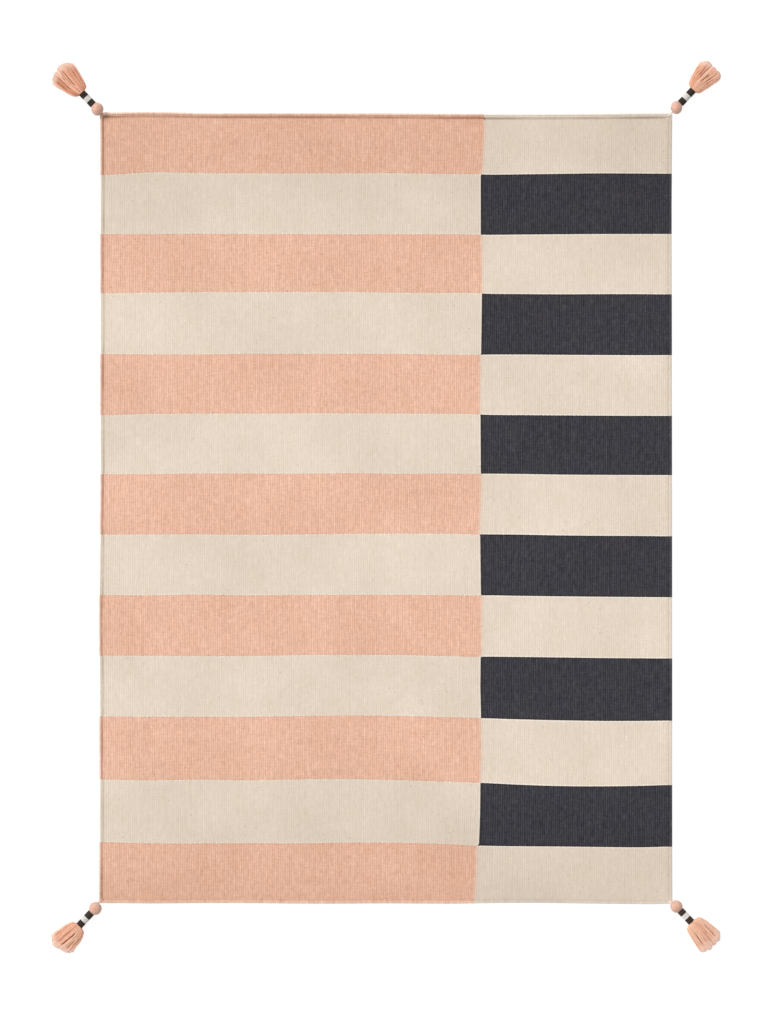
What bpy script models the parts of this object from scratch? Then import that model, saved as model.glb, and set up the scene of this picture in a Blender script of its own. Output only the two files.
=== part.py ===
"""Flat-woven wool rug with a tassel at each corner, lying flat.

Metres, +Z up. +X runs across the rug, +Y along it, and the origin is the middle of
the rug's underside, on the surface that it lies on. Sizes below are in millimetres.

The rug is one woven cloth: a flat body with a corded selvedge all round. Each tassel
is a felted wool ball sewn to a corner, three yarn wraps round its neck and a skirt of
cut yarn, whose bound core runs through the wraps to the ball.
"""

import math

import bmesh
import bpy
from mathutils import Vector

MM = 0.001
GAP = 0.3  # between neighbouring pieces

# The rug
RUG_WIDTH = 1524.0
RUG_LENGTH = 2103.4
BODY_THICK = 5.0  # a weft-faced weave over a thick warp
CELLS_X, CELLS_Y = 19, 27
CORNER_STEPS = 3

# Each corner, anticlockwise from the bottom left: how round it is, and how far the
# stitches draw it up towards the ball that is sewn to it.
CORNERS = [
    # side across, side along, radius, lift
    (-1, -1, 3.5, 7.0),
    (1, -1, 4.0, 2.0),
    (1, 1, 3.0, 8.5),
    (-1, 1, 6.0, 0.0),
]
LIFT_REACH = 70.0

# How far each edge of a hand-woven rug wanders from straight, outwards.
# share runs along the edge: left to right, and bottom to top.
EDGE_WANDER = [
    # share, bottom,  top, left, right
    (0.00, -1.6, 1.2, 1.7, 0.8),
    (0.09, -0.2, 2.9, 0.8, 0.4),
    (0.18, -1.1, 0.6, 0.8, 0.3),
    (0.27, -0.8, 0.4, 1.1, 0.3),
    (0.38, 0.5, 0.2, 1.9, 0.2),
    (0.50, -0.3, -0.5, -1.0, 0.0),
    (0.62, 0.5, -1.7, -1.1, -0.3),
    (0.74, -1.6, -1.7, -1.1, -0.6),
    (0.88, 0.6, -0.8, -1.1, -1.2),
    (0.95, 1.9, 0.2, -1.9, -0.3),
    (1.00, 0.8, 0.5, -1.6, 0.3),
]

# The corded selvedge, from under its inner side, round it, to where the body starts.
SELVEDGE = [
    # in from the edge, height
    (3.3, 0.0),
    (1.0, 0.9),
    (0.0, 3.1),
    (0.9, 5.3),
    (3.2, 6.3),
    (5.7, 5.2),
    (7.0, 3.9),
    (9.8, BODY_THICK),
]

# Low, wide ripples that are left in the body: height, waves across, waves along, phase
RIPPLES = [
    (0.30, 1.5, 2.5, 0.4),
    (0.22, 3.0, 1.0, 2.1),
    (0.15, 2.0, 6.0, 1.2),
]

# The tassels
BALL_RADIUS_Z = 16.7
BALL_SITS = 0.5  # how much its flat spot takes off below
BALL_AROUND, BALL_RINGS = 14, 8
WRAP_OUTER, WRAP_THICK, WRAP_ROUND = 10.0, 1.5, 0.5
WRAPS = ("wrap_inner", "wrap_middle", "wrap_outer")
CORE_RADIUS = WRAP_OUTER - WRAP_THICK - GAP
NECK_END_Z = 11.4  # its axis comes down from the ball's middle to this height
YARN_AROUND = 16  # corners round the wraps, the core and the skirt

TASSELS = [
    # name, ball x, ball y, ball radius x, y, aim in degrees, and from the ball's middle:
    # where the first dark wrap ends, where the pale one ends, where the neck ends
    ("tassel_tl", -766.6, 1060.9, 16.5, 17.8, 133.7, 30.5, 44.5, 60.0),
    ("tassel_tr", 772.7, 1064.7, 15.6, 17.6, 46.6, 31.0, 47.1, 65.0),
    ("tassel_bl", -771.8, -1063.7, 17.0, 17.4, -133.0, 33.5, 48.2, 63.8),
    ("tassel_br", 772.5, -1058.5, 16.5, 17.0, -46.3, 28.7, 42.8, 59.0),
]

# The skirt's fan: how wide it is along its yarns, as a share of its cut end, and the
# heights of its upper and lower side. It rests on the surface from its shoulder on.
FAN = [
    # along, wide, upper, lower
    (0.00, 0.29, NECK_END_Z + CORE_RADIUS + 0.9, NECK_END_Z - CORE_RADIUS - 0.9),
    (0.04, 0.47, 20.8, 1.6),
    (0.09, 0.555, 21.6, 0.4),
    (0.20, 0.65, 21.4, 0.0),
    (0.40, 0.76, 19.6, 0.0),
    (0.62, 0.85, 17.4, 0.0),
    (0.83, 0.945, 15.2, 0.0),
    (1.00, 1.00, 12.6, 0.0),
]

# The cut end of each skirt: its half width on each side, how its width grows on each
# side (a power below 1 is fuller at the shoulder), and how far its yarns reach from the
# ball's middle, from the right-hand side to the left-hand one.
ACROSS = (-1.0, -0.7, -0.35, 0.0, 0.35, 0.7, 1.0)
CUT_END = {
    # name: (right, left, growth on the right, on the left, reach at each place across)
    "tassel_tl": (38.5, 41.5, 0.93, 1.08, (130, 143, 150, 152, 149, 143, 130)),
    "tassel_tr": (34.0, 39.5, 1.00, 1.00, (134, 143, 147, 147, 148, 144, 129)),
    "tassel_bl": (39.0, 40.0, 0.93, 0.93, (132, 139, 148, 147, 144, 139, 124)),
    "tassel_br": (38.5, 39.5, 0.85, 0.62, (131, 139, 145, 145, 145, 143, 127)),
}

COLOURS = {
    # name: (red, green, blue), roughness
    "rug_wool": ((0.78, 0.67, 0.55), 0.9),
    "ball_wool": ((0.72, 0.39, 0.26), 0.9),
    "dark_wrap": ((0.03, 0.025, 0.025), 0.8),
    "pale_wrap": ((0.75, 0.74, 0.72), 0.8),
    "skirt_yarn": ((0.80, 0.44, 0.30), 0.9),
}


def fan_width(along, across, right, left, grow_right, grow_left):
    """How far out of the middle a place of the fan lies."""
    side, grow = (left, grow_left) if across > 0 else (right, grow_right)
    power = 1 + (grow - 1) * min(along / 0.04, 1.0)
    return across * side * smooth_row(FAN, along, 1) ** power


def smooth_row(rows, at, column):
    """A table's column at a place, on a smooth curve through its rows."""
    at = min(max(at, rows[0][0]), rows[-1][0])
    i = max(k for k in range(len(rows) - 1) if rows[k][0] <= at)
    x0, x1 = rows[i][0], rows[i + 1][0]
    y0, y1 = rows[i][column], rows[i + 1][column]

    def slope(k):
        a, b = max(k - 1, 0), min(k + 1, len(rows) - 1)
        return (rows[b][column] - rows[a][column]) / (rows[b][0] - rows[a][0])

    h = x1 - x0
    t = (at - x0) / h
    return (
        (2 * t**3 - 3 * t**2 + 1) * y0
        + (t**3 - 2 * t**2 + t) * h * slope(i)
        + (3 * t**2 - 2 * t**3) * y1
        + (t**3 - t**2) * h * slope(i + 1)
    )


def material(name):
    colour, roughness = COLOURS[name]
    m = bpy.data.materials.new(name)
    m.use_nodes = True
    shader = m.node_tree.nodes["Principled BSDF"]
    shader.inputs["Base Color"].default_value = (*colour, 1.0)
    shader.inputs["Roughness"].default_value = roughness
    shader.inputs["Metallic"].default_value = 0.0
    return m


class Body:
    """A mesh under construction, whose points are shared where they coincide."""

    def __init__(self):
        self.bm = bmesh.new()
        self.known = {}

    def point(self, x, y, z):
        key = (round(x * 1000), round(y * 1000), round(z * 1000))
        if key not in self.known:
            self.known[key] = self.bm.verts.new((x * MM, y * MM, z * MM))
        return self.known[key]

    def face(self, *points):
        distinct = []
        for p in points:
            if p not in distinct:
                distinct.append(p)
        if len(distinct) > 2:
            self.bm.faces.new(distinct)

    def strip(self, low, high):
        """Faces between two closed rings of as many points."""
        for i in range(len(low)):
            j = (i + 1) % len(low)
            self.face(low[i], low[j], high[j], high[i])

    def fan(self, ring, middle):
        for i in range(len(ring)):
            self.face(ring[i], ring[(i + 1) % len(ring)], middle)

    def make(self, name, colour):
        bmesh.ops.recalc_face_normals(self.bm, faces=self.bm.faces[:])
        if self.bm.calc_volume(signed=True) < 0:
            bmesh.ops.reverse_faces(self.bm, faces=self.bm.faces[:])
        bmesh.ops.triangulate(self.bm, faces=self.bm.faces[:])
        mesh = bpy.data.meshes.new(name)
        self.bm.to_mesh(mesh)
        self.bm.free()
        mesh.materials.append(material(colour))
        mesh.shade_smooth()
        mesh.set_sharp_from_angle(angle=math.radians(40))
        made = bpy.data.objects.new(name, mesh)
        bpy.context.scene.collection.objects.link(made)
        return made


def wandered(x, y):
    """Where a point of the straight-edged rug lies on the woven one."""
    across, along = x / RUG_WIDTH + 0.5, y / RUG_LENGTH + 0.5
    bottom, top = (smooth_row(EDGE_WANDER, across, k) for k in (1, 2))
    left, right = (smooth_row(EDGE_WANDER, along, k) for k in (3, 4))
    return (
        x - left * (1 - across) + right * across,
        y - bottom * (1 - along) + top * along,
    )


def ripple(x, y):
    across, along = x / RUG_WIDTH, y / RUG_LENGTH
    fade = max(0.0, 1 - (2 * across) ** 8) * max(0.0, 1 - (2 * along) ** 8)
    return fade * sum(
        h * math.sin(2 * math.pi * (a * across + b * along) + phase)
        for h, a, b, phase in RIPPLES
    )


def lifted(x, y):
    """How far the cloth is drawn up there, near a corner."""
    return sum(
        lift
        * max(
            0.0,
            1
            - math.hypot(x - cx * RUG_WIDTH / 2, y - cy * RUG_LENGTH / 2) / LIFT_REACH,
        )
        ** 1.5
        for cx, cy, _, lift in CORNERS
    )


def rug_ring(inset):
    """The rug's outline that far in, as points of the straight-edged rug, from its bottom left corner anticlockwise."""
    wide, long = RUG_WIDTH / 2 - inset, RUG_LENGTH / 2 - inset
    body_wide, body_long = (
        RUG_WIDTH / 2 - SELVEDGE[-1][0],
        RUG_LENGTH / 2 - SELVEDGE[-1][0],
    )
    points = []
    sides = [
        # direction of the side that a corner starts, cells, half length of the body's side
        ((1, 0), CELLS_X, body_wide),
        ((0, 1), CELLS_Y, body_long),
        ((-1, 0), CELLS_X, body_wide),
        ((0, -1), CELLS_Y, body_long),
    ]
    for (cx, cy, corner, _), ((dx, dy), cells, half) in zip(CORNERS, sides):
        radius = max(corner - inset, 0.0)
        turn = math.atan2(cy, cx) - math.pi / 4
        for k in range(CORNER_STEPS + 1):
            a = turn + math.pi / 2 * k / CORNER_STEPS
            points.append(
                (
                    cx * (wide - radius) + radius * math.cos(a),
                    cy * (long - radius) + radius * math.sin(a),
                )
            )
        for k in range(1, cells):
            along = -half + 2 * half * k / cells
            points.append(
                (
                    along * dx + (cx * wide if dx == 0 else 0),
                    along * dy + (cy * long if dy == 0 else 0),
                )
            )
    return points


def rug():
    body = Body()
    rings = [
        [body.point(*wandered(x, y), z + lifted(x, y)) for x, y in rug_ring(inset)]
        for inset, z in SELVEDGE
    ]
    for low, high in zip(rings, rings[1:]):
        body.strip(low, high)

    for inset, height in (SELVEDGE[0], SELVEDGE[-1]):
        wide, long = RUG_WIDTH / 2 - inset, RUG_LENGTH / 2 - inset
        inner = RUG_WIDTH / 2 - SELVEDGE[-1][0], RUG_LENGTH / 2 - SELVEDGE[-1][0]
        columns = (
            [-wide]
            + [-inner[0] + 2 * inner[0] * i / CELLS_X for i in range(1, CELLS_X)]
            + [wide]
        )
        rows = (
            [-long]
            + [-inner[1] + 2 * inner[1] * j / CELLS_Y for j in range(1, CELLS_Y)]
            + [long]
        )
        ring = rings[0] if height == 0 else rings[-1]
        grid = {}
        for i, x in enumerate(columns):
            for j, y in enumerate(rows):
                edge = i in (0, CELLS_X) or j in (0, CELLS_Y)
                if not edge:
                    wx, wy = wandered(x, y)
                    z = height + ripple(x, y) if height else 0.0
                    grid[i, j] = body.point(wx, wy, z)
        # The grid's outer points are the ring's own, and each corner's arc is one cell corner.
        n = CORNER_STEPS
        starts = [0, n + CELLS_X, 2 * n + CELLS_X + CELLS_Y, 3 * n + 2 * CELLS_X + CELLS_Y]
        for i in range(1, CELLS_X):
            grid[i, 0] = ring[starts[0] + n + i]
            grid[CELLS_X - i, CELLS_Y] = ring[starts[2] + n + i]
        for j in range(1, CELLS_Y):
            grid[CELLS_X, j] = ring[starts[1] + n + j]
            grid[0, CELLS_Y - j] = ring[starts[3] + n + j]
        arcs = {
            (0, 0): starts[0],
            (CELLS_X, 0): starts[1],
            (CELLS_X, CELLS_Y): starts[2],
            (0, CELLS_Y): starts[3],
        }
        for i in range(CELLS_X):
            for j in range(CELLS_Y):
                loop = []
                for corner in ((i, j), (i + 1, j), (i + 1, j + 1), (i, j + 1)):
                    if corner in arcs:
                        loop += [ring[arcs[corner] + k] for k in range(n + 1)]
                    else:
                        loop.append(grid[corner])
                body.face(*loop)
    return body.make("rug", "rug_wool")


class Tassel:
    """Places a tassel's points: s along it from the ball's middle, v to its left."""

    def __init__(self, row):
        self.name, self.x, self.y, self.rx, self.ry, aim, *self.stops = row
        self.neck_end = self.stops[-1]
        self.ball_z = BALL_RADIUS_Z - BALL_SITS
        self.u = Vector((math.cos(math.radians(aim)), math.sin(math.radians(aim))))
        self.v = Vector((-self.u.y, self.u.x))
        self.drop = (self.ball_z - NECK_END_Z) / self.neck_end
        towards = math.hypot(self.u.x / self.rx, self.u.y / self.ry)
        inner = WRAP_OUTER - WRAP_THICK
        self.core_start = 1 / towards + GAP + 0.3
        self.wrap_start = (
            math.sqrt(1 - (inner / BALL_RADIUS_Z) ** 2) / towards + GAP + 0.6
        )

    def at(self, s, v, z):
        p = Vector((self.x, self.y)) + self.u * s + self.v * v
        return p.x, p.y, z

    def axis_z(self, s):
        return self.ball_z - self.drop * s

    def ball(self):
        body = Body()
        rings = []
        for k in range(1, BALL_RINGS):
            down = math.pi * k / BALL_RINGS
            rings.append(
                [
                    body.point(
                        self.x + self.rx * math.sin(down) * math.cos(turn),
                        self.y + self.ry * math.sin(down) * math.sin(turn),
                        max(self.ball_z + BALL_RADIUS_Z * math.cos(down), 0.0),
                    )
                    for turn in (
                        2 * math.pi * i / BALL_AROUND for i in range(BALL_AROUND)
                    )
                ]
            )
        flat = math.sqrt(BALL_RADIUS_Z**2 - self.ball_z**2) / BALL_RADIUS_Z
        rings.append(
            [
                body.point(
                    self.x + self.rx * flat * math.cos(turn),
                    self.y + self.ry * flat * math.sin(turn),
                    0.0,
                )
                for turn in (2 * math.pi * i / BALL_AROUND for i in range(BALL_AROUND))
            ]
        )
        for low, high in zip(rings, rings[1:]):
            body.strip(low, high)
        body.fan(rings[0], body.point(self.x, self.y, self.ball_z + BALL_RADIUS_Z))
        body.fan(rings[-1], body.point(self.x, self.y, 0.0))
        return body.make(self.name + "_ball", "ball_wool")

    def round_ring(self, body, s, radius):
        return [
            body.point(
                *self.at(
                    s,
                    radius * math.cos(a),
                    self.axis_z(s) + radius * math.sin(a),
                )
            )
            for a in (2 * math.pi * i / YARN_AROUND for i in range(YARN_AROUND))
        ]

    def wraps(self):
        """Three rings of wound yarn, with their edges rounded."""
        start = self.wrap_start
        for name, stop in zip(WRAPS, self.stops):
            end = stop - GAP
            inner = WRAP_OUTER - WRAP_THICK
            section = [
                (start, inner),
                (start, WRAP_OUTER - WRAP_ROUND),
                (start + WRAP_ROUND, WRAP_OUTER),
                (end - WRAP_ROUND, WRAP_OUTER),
                (end, WRAP_OUTER - WRAP_ROUND),
                (end, inner),
            ]
            body = Body()
            rings = [self.round_ring(body, s, radius) for s, radius in section]
            for low, high in zip(rings, rings[1:] + rings[:1]):
                body.strip(low, high)
            body.make(
                f"{self.name}_{name}",
                "pale_wrap" if name == "wrap_middle" else "dark_wrap",
            )
            start = stop

    def skirt(self):
        """The bound core and the fan of yarns, as one bundle."""
        *widths, reach = CUT_END[self.name]
        cut = [(c, r) for c, r in zip(ACROSS, reach)]
        start = self.neck_end + GAP
        around = [2 * math.pi * i / YARN_AROUND for i in range(YARN_AROUND)]

        def spot(along, a, inwards=1.0, back=0.0):
            across = math.cos(a) * inwards
            upper, lower = (smooth_row(FAN, along, k) for k in (2, 3))
            end = smooth_row(cut, across, 1) - back
            middle, half = (upper + lower) / 2, (upper - lower) / 2
            up = math.sin(a)
            if up < 0 and lower < 0.3:  # it lies flat on the surface
                up = -min(1.0, 1.12 * abs(up) ** 0.6)
            v = fan_width(along, across, *widths)
            return self.at(
                start + along * (end - start), v, max(middle + half * up * inwards, 0.0)
            )

        body = Body()
        # The core has the wraps' corners, so that the gap between them is even.
        rings = [
            self.round_ring(body, s, CORE_RADIUS)
            for s in (self.core_start, self.neck_end)
        ] + [
            [body.point(*spot(along, a)) for a in around] for along, *_ in FAN[:-1]
        ]
        for along, inwards, back in ((1.0, 1.0, 3.0), (1.0, 0.8, 0.4), (1.0, 0.45, 0.0)):
            rings.append(
                [body.point(*spot(along, a, inwards, back)) for a in around]
            )
        for low, high in zip(rings, rings[1:]):
            body.strip(low, high)
        body.fan(rings[0], body.point(*self.at(self.core_start, 0, self.axis_z(self.core_start))))
        body.fan(rings[-1], body.point(*spot(1.0, 0.0, 0.0)))
        return body.make(self.name + "_skirt", "skirt_yarn")


def main():
    for old in list(bpy.data.objects):
        bpy.data.objects.remove(old, do_unlink=True)
    rug()
    for row in TASSELS:
        tassel = Tassel(row)
        tassel.ball()
        tassel.wraps()
        tassel.skirt()


main()
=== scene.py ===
"""The looks of a flat-woven wool rug with a tassel at each corner.

Metres in the scene, millimetres in the tables. +X runs across the rug and +Y along it.
"""

import math
import random

import bmesh
import bpy
import numpy as np
from mathutils import Matrix, Vector, noise


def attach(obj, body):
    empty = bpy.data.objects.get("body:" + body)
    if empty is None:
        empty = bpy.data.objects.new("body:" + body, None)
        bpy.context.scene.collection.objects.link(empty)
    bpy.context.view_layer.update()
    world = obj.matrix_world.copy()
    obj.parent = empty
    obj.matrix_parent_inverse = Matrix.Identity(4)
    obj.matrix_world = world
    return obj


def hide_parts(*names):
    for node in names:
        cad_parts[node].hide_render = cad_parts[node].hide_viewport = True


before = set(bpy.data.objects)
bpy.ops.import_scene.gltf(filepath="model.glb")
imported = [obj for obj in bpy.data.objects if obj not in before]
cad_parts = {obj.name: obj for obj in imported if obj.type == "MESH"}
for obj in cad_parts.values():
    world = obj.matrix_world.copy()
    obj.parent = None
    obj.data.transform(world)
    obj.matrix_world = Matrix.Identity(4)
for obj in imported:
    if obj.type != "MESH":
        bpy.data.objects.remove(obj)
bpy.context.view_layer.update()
MM = 0.001

# ---------------------------------------------------------------- the rug's numbers
RUG_WIDTH, RUG_LENGTH = 1524.0, 2103.4
BODY_THICK = 5.0
BODY_IN = 9.8  # where the ribbed body starts, in from the edge
BANDS = 13
BAND = RUG_LENGTH / BANDS
RIBS = 260
PITCH = (RUG_WIDTH - 2 * BODY_IN) / RIBS
JOIN_RIB = 174  # the rib at which the two columns of blocks meet
JOIN_X = JOIN_RIB * PITCH - RUG_WIDTH / 2 + BODY_IN
CORNER_STEPS = 4

CORNERS = [
    # side across, side along, radius, lift
    (-1, -1, 3.5, 7.0),
    (1, -1, 4.0, 2.0),
    (1, 1, 3.0, 8.5),
    (-1, 1, 6.0, 0.0),
]
LIFT_REACH = 70.0
EDGE_WANDER = [
    # share, bottom, top, left, right
    (0.00, -1.6, 1.2, 1.7, 0.8),
    (0.09, -0.2, 2.9, 0.8, 0.4),
    (0.18, -1.1, 0.6, 0.8, 0.3),
    (0.27, -0.8, 0.4, 1.1, 0.3),
    (0.38, 0.5, 0.2, 1.9, 0.2),
    (0.50, -0.3, -0.5, -1.0, 0.0),
    (0.62, 0.5, -1.7, -1.1, -0.3),
    (0.74, -1.6, -1.7, -1.1, -0.6),
    (0.88, 0.6, -0.8, -1.1, -1.2),
    (0.95, 1.9, 0.2, -1.9, -0.3),
    (1.00, 0.8, 0.5, -1.6, 0.3),
]
RIPPLES = [(0.30, 1.5, 2.5, 0.4), (0.22, 3.0, 1.0, 2.1), (0.15, 2.0, 6.0, 1.2)]

# The selvedge from the body's upper side, over its cord, to the underside.
SELVEDGE = [
    # in from the edge, height
    (8.4, 3.75),
    (7.3, 3.2),
    (6.5, 3.9),
    (5.6, 5.2),
    (4.4, 6.05),
    (3.1, 6.35),
    (1.9, 6.0),
    (0.8, 5.0),
    (0.15, 3.8),
    (0.1, 2.6),
    (0.8, 1.2),
    (2.0, 0.35),
    (3.4, 0.0),
    (7.0, 0.4),
]

# Where each band of blocks ends, along the rug at places across it, from the top down.
BAND_ENDS = [
    (-738.8, 886.2, 729.0, 571.8, 410.0, 247.4, 90.5, -70.0, -230.7, -392.2, -553.9, -721.8, -888.4),
    (-627.1, 893.2, 729.0, 573.4, 409.2, 250.8, 90.7, -69.7, -231.7, -392.4, -554.7, -723.7, -891.2),
    (-494.1, 891.6, 730.1, 575.0, 409.2, 251.4, 92.3, -69.4, -230.1, -393.2, -554.7, -721.9, -891.6),
    (-361.0, 890.5, 729.3, 575.0, 410.8, 251.4, 92.1, -70.5, -232.0, -393.2, -554.7, -723.6, -890.8),
    (-228.0, 890.5, 729.0, 575.2, 410.5, 252.6, 91.8, -69.7, -230.7, -390.6, -552.9, -721.0, -891.3),
    (-95.0, 890.5, 728.7, 575.2, 410.8, 252.5, 93.3, -68.1, -230.7, -390.3, -551.6, -720.4, -889.6),
    (38.0, 891.1, 728.7, 573.0, 410.5, 251.6, 91.4, -67.7, -230.4, -390.6, -552.6, -723.4, -890.2),
    (171.1, 888.4, 728.7, 572.8, 408.7, 251.2, 92.1, -67.9, -231.5, -393.8, -555.7, -727.4, -893.4),
    (229.6, 888.6, 727.9, 572.4, 407.8, 250.4, 91.6, -69.4, -232.2, -395.2, -557.3, -729.6, -896.6),
    (277.5, 887.2, 727.1, 570.2, 408.6, 248.4, 91.7, -69.5, -231.8, -394.8, -559.2, -731.4, -898.0),
    (357.3, 888.1, 727.7, 569.6, 408.7, 247.7, 91.0, -70.2, -233.1, -395.6, -561.7, -735.5, -899.2),
    (463.7, 889.4, 728.5, 569.0, 407.9, 246.9, 89.3, -72.2, -234.4, -396.9, -564.2, -739.0, -899.9),
    (570.2, 890.7, 729.2, 569.4, 407.4, 246.2, 88.6, -73.2, -235.5, -398.4, -565.8, -739.7, -901.1),
    (676.6, 890.2, 729.3, 569.4, 406.9, 245.8, 88.3, -73.8, -236.3, -399.1, -565.8, -738.4, -902.0),
    (740.4, 889.7, 729.3, 568.9, 407.2, 245.6, 88.1, -74.5, -236.8, -399.6, -565.2, -736.4, -900.5),
]
# Where the two columns of blocks meet, at each band's top, middle and bottom, from the top down.
JOIN_AT = [
    (261.5, 260.7, 255.2),
    (252.8, 252.8, 252.8),
    (254.4, 255.2, 256.2),
    (255.9, 254.9, 253.8),
    (251.4, 250.9, 250.4),
    (252.0, 252.5, 253.0),
    (254.6, 253.1, 248.2),
    (251.2, 252.2, 253.3),
    (255.4, 254.6, 254.1),
    (252.5, 251.7, 253.6),
    (252.8, 254.1, 251.7),
    (252.0, 250.9, 248.0),
    (241.3, 239.7, 235.2),
]

# ---------------------------------------------------------------- the tassels' numbers
GAP = 0.3
BALL_RADIUS_Z, BALL_SITS = 16.7, 0.5
WRAP_OUTER, WRAP_THICK = 10.0, 1.5
WRAPS = ("wrap_inner", "wrap_middle", "wrap_outer")
CORE_RADIUS = WRAP_OUTER - WRAP_THICK - GAP
NECK_END_Z = 11.4
TASSELS = [
    # name, ball x, ball y, ball radius x, y, aim in degrees, and from the ball's middle:
    # where the first dark wrap ends, where the pale one ends, where the neck ends
    ("tassel_tl", -766.6, 1060.9, 16.5, 17.8, 133.7, 30.5, 44.5, 60.0),
    ("tassel_tr", 772.7, 1064.7, 15.6, 17.6, 46.6, 31.0, 47.1, 65.0),
    ("tassel_bl", -771.8, -1063.7, 17.0, 17.4, -133.0, 33.5, 48.2, 63.8),
    ("tassel_br", 772.5, -1058.5, 16.5, 17.0, -46.3, 28.7, 42.8, 59.0),
]
FAN = [
    # along, wide, upper, lower
    (0.00, 0.29, NECK_END_Z + CORE_RADIUS + 0.9, NECK_END_Z - CORE_RADIUS - 0.9),
    (0.04, 0.47, 20.8, 1.6),
    (0.09, 0.555, 21.6, 0.4),
    (0.20, 0.65, 21.4, 0.0),
    (0.40, 0.76, 19.6, 0.0),
    (0.62, 0.85, 17.4, 0.0),
    (0.83, 0.945, 15.2, 0.0),
    (1.00, 1.00, 12.6, 0.0),
]
ACROSS = (-1.0, -0.7, -0.35, 0.0, 0.35, 0.7, 1.0)
CUT_END = {
    # name: (right, left, growth on the right, on the left, reach at each place across)
    "tassel_tl": (38.5, 41.5, 0.93, 1.08, (130, 143, 150, 152, 149, 143, 130)),
    "tassel_tr": (34.0, 39.5, 1.00, 1.00, (134, 143, 147, 147, 148, 144, 129)),
    "tassel_bl": (39.0, 40.0, 0.93, 0.93, (132, 139, 148, 147, 144, 139, 124)),
    "tassel_br": (38.5, 39.5, 0.85, 0.62, (131, 139, 145, 145, 145, 143, 127)),
}


def smooth_row(rows, at, column):
    """A table's column at a place, on a smooth curve through its rows."""
    at = min(max(at, rows[0][0]), rows[-1][0])
    i = max(k for k in range(len(rows) - 1) if rows[k][0] <= at)
    x0, x1 = rows[i][0], rows[i + 1][0]
    y0, y1 = rows[i][column], rows[i + 1][column]

    def slope(k):
        a, b = max(k - 1, 0), min(k + 1, len(rows) - 1)
        return (rows[b][column] - rows[a][column]) / (rows[b][0] - rows[a][0])

    h = x1 - x0
    t = (at - x0) / h
    return (
        (2 * t**3 - 3 * t**2 + 1) * y0
        + (t**3 - 2 * t**2 + t) * h * slope(i)
        + (3 * t**2 - 2 * t**3) * y1
        + (t**3 - t**2) * h * slope(i + 1)
    )


def fan_width(along, across, right, left, grow_right, grow_left):
    """How far out of the middle a place of the fan lies."""
    side, grow = (left, grow_left) if across > 0 else (right, grow_right)
    power = 1 + (grow - 1) * min(along / 0.04, 1.0)
    return across * side * smooth_row(FAN, along, 1) ** power


def smooth(t):
    t = min(max(t, 0.0), 1.0)
    return t * t * (3 - 2 * t)


# The notches between each skirt's locks: across it, how wide and how deep.
NOTCHES = {
    "tassel_tl": ((0.27, 0.10, 4.5), (-0.60, 0.10, 1.2), (0.62, 0.08, 1.0)),
    "tassel_tr": ((-0.12, 0.09, 3.0), (0.22, 0.09, 3.2), (-0.55, 0.08, 2.0), (0.55, 0.08, 1.4)),
    "tassel_bl": ((0.52, 0.08, 1.2), (-0.30, 0.08, 1.2), (0.10, 0.08, 1.0)),
    "tassel_br": ((-0.48, 0.11, 4.0), (0.02, 0.11, 4.2), (0.42, 0.10, 4.0), (0.72, 0.08, 2.4)),
}
TONES = {"tassel_tl": -0.08, "tassel_tr": 0.05, "tassel_bl": 0.18, "tassel_br": 0.20}  # how light its wool is
WRAP_TONES = {  # how light its inner, middle and outer wraps are, from 0 to 1
    "tassel_tl": (0.60, 0.50, 0.40),
    "tassel_tr": (0.50, 0.50, 0.55),
    "tassel_bl": (0.62, 0.62, 0.65),
    "tassel_br": (0.85, 0.95, 0.80),
}
# Where its yarns part: across it at the parting's top and foot, from and to along it, how deep.
PARTINGS = {
    "tassel_tl": (
        (-0.01, -0.05, 0.22, 0.82, 1.0),
        (0.15, 0.12, 0.38, 0.80, 0.6),
        (0.30, 0.27, 0.36, 0.76, 0.6),
        (0.52, 0.50, 0.22, 0.80, 0.9),
        (0.77, 0.74, 0.42, 0.76, 0.5),
        (-0.38, -0.42, 0.30, 0.62, 0.25),
        (-0.62, -0.66, 0.42, 0.68, 0.4),
    ),
    "tassel_tr": (
        (-0.02, -0.09, 0.34, 0.72, 0.85),
        (-0.15, -0.23, 0.24, 0.86, 0.55),
        (-0.36, -0.50, 0.25, 0.92, 1.0),
        (-0.58, -0.66, 0.40, 0.90, 0.6),
        (0.29, 0.27, 0.42, 0.92, 0.5),
        (0.51, 0.48, 0.46, 0.86, 0.35),
        (0.73, 0.70, 0.22, 0.58, 0.4),
    ),
    "tassel_bl": (
        (0.25, 0.05, 0.20, 0.82, 0.8),
        (0.63, 0.58, 0.46, 0.86, 0.65),
        (0.82, 0.74, 0.30, 0.66, 0.5),
        (0.46, 0.38, 0.08, 0.44, 0.5),
        (-0.27, -0.33, 0.22, 0.80, 0.6),
        (-0.50, -0.53, 0.30, 0.76, 0.35),
        (-0.68, -0.66, 0.38, 0.72, 0.35),
    ),
    "tassel_br": (
        (0.63, 0.57, 0.30, 0.82, 0.65),
        (-0.46, -0.50, 0.28, 0.82, 0.6),
        (0.12, 0.08, 0.46, 0.82, 0.45),
        (-0.12, -0.17, 0.42, 0.78, 0.4),
        (-0.32, -0.33, 0.28, 0.62, 0.3),
        (0.35, 0.30, 0.18, 0.56, 0.4),
        (-0.74, -0.75, 0.42, 0.78, 0.4),
    ),
}


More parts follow.
